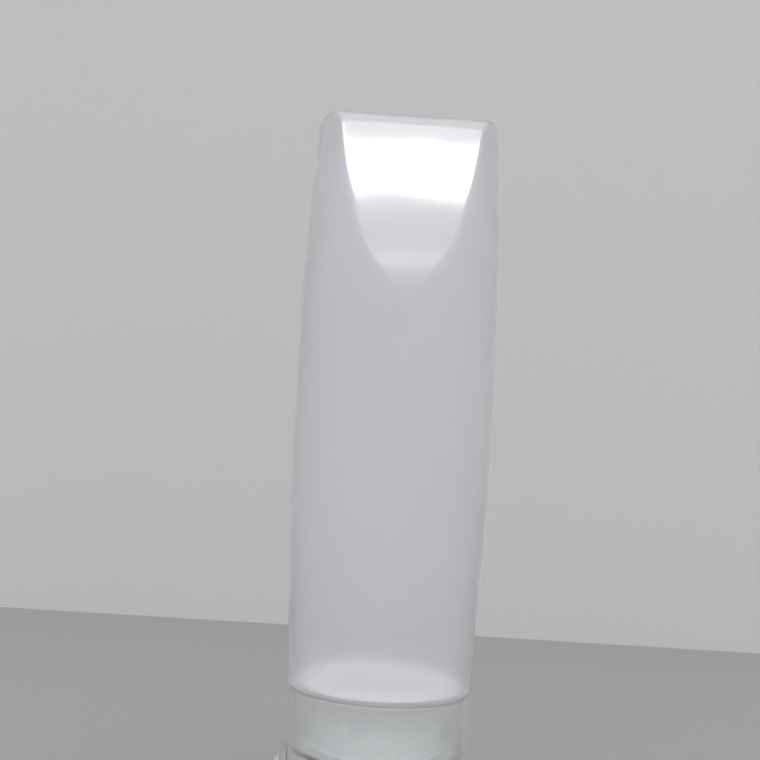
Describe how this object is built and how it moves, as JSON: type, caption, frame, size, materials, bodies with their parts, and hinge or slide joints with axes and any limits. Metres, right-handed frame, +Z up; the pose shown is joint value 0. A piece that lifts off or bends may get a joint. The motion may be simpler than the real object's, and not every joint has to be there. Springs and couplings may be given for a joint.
{
  "type": "travel bottle",
  "caption": "Frosted soft squeeze bottle with sloping flats at its closed end, standing upside down on a screw cap with a flip lid.",
  "frame": {"origin": "centre of the lid's outer face, on which the bottle stands upside down", "axes": "+Z up along the bottle's axis to its closed end, -X towards the lid's hinge, -Y towards the flat that the picture shows"},
  "size_m": [0.04, 0.04, 0.137],
  "materials": {
    "frosted_body": "frosted, milky translucent polyethylene",
    "frosted_cap": "frosted translucent polypropylene",
    "washer_foam": "soft white foam"
  },
  "bodies": {
    "bottle": {"bottle": "frosted_body"},
    "seal": {"seal_washer": "washer_foam"},
    "cap": {"cap_base": "frosted_cap", "hinge_strap": "frosted_cap"},
    "lid": {"lid": "frosted_cap"}
  },
  "joints": [
    {"name": "cap_lift", "type": "slide", "parent": "bottle", "child": "seal", "axis": [0, 0, -1], "range_m": [0, 0.0128]},
    {"name": "cap_turn", "type": "hinge", "parent": "seal", "child": "cap", "pos_m": [0, 0, 0.0154], "axis": [0, 0, -1], "range_deg": [0, 1440]},
    {"name": "lid_flip", "type": "hinge", "parent": "cap", "child": "lid", "pos_m": [-0.01967, 0, 0.00893], "axis": [0, 1, 0], "range_deg": [0, 150], "deforming": ["hinge_strap"]}
  ],
  "couplings": [
    {"joint": "cap_lift", "follows": "cap_turn", "m_per_rad": 0.00050532}
  ]
}
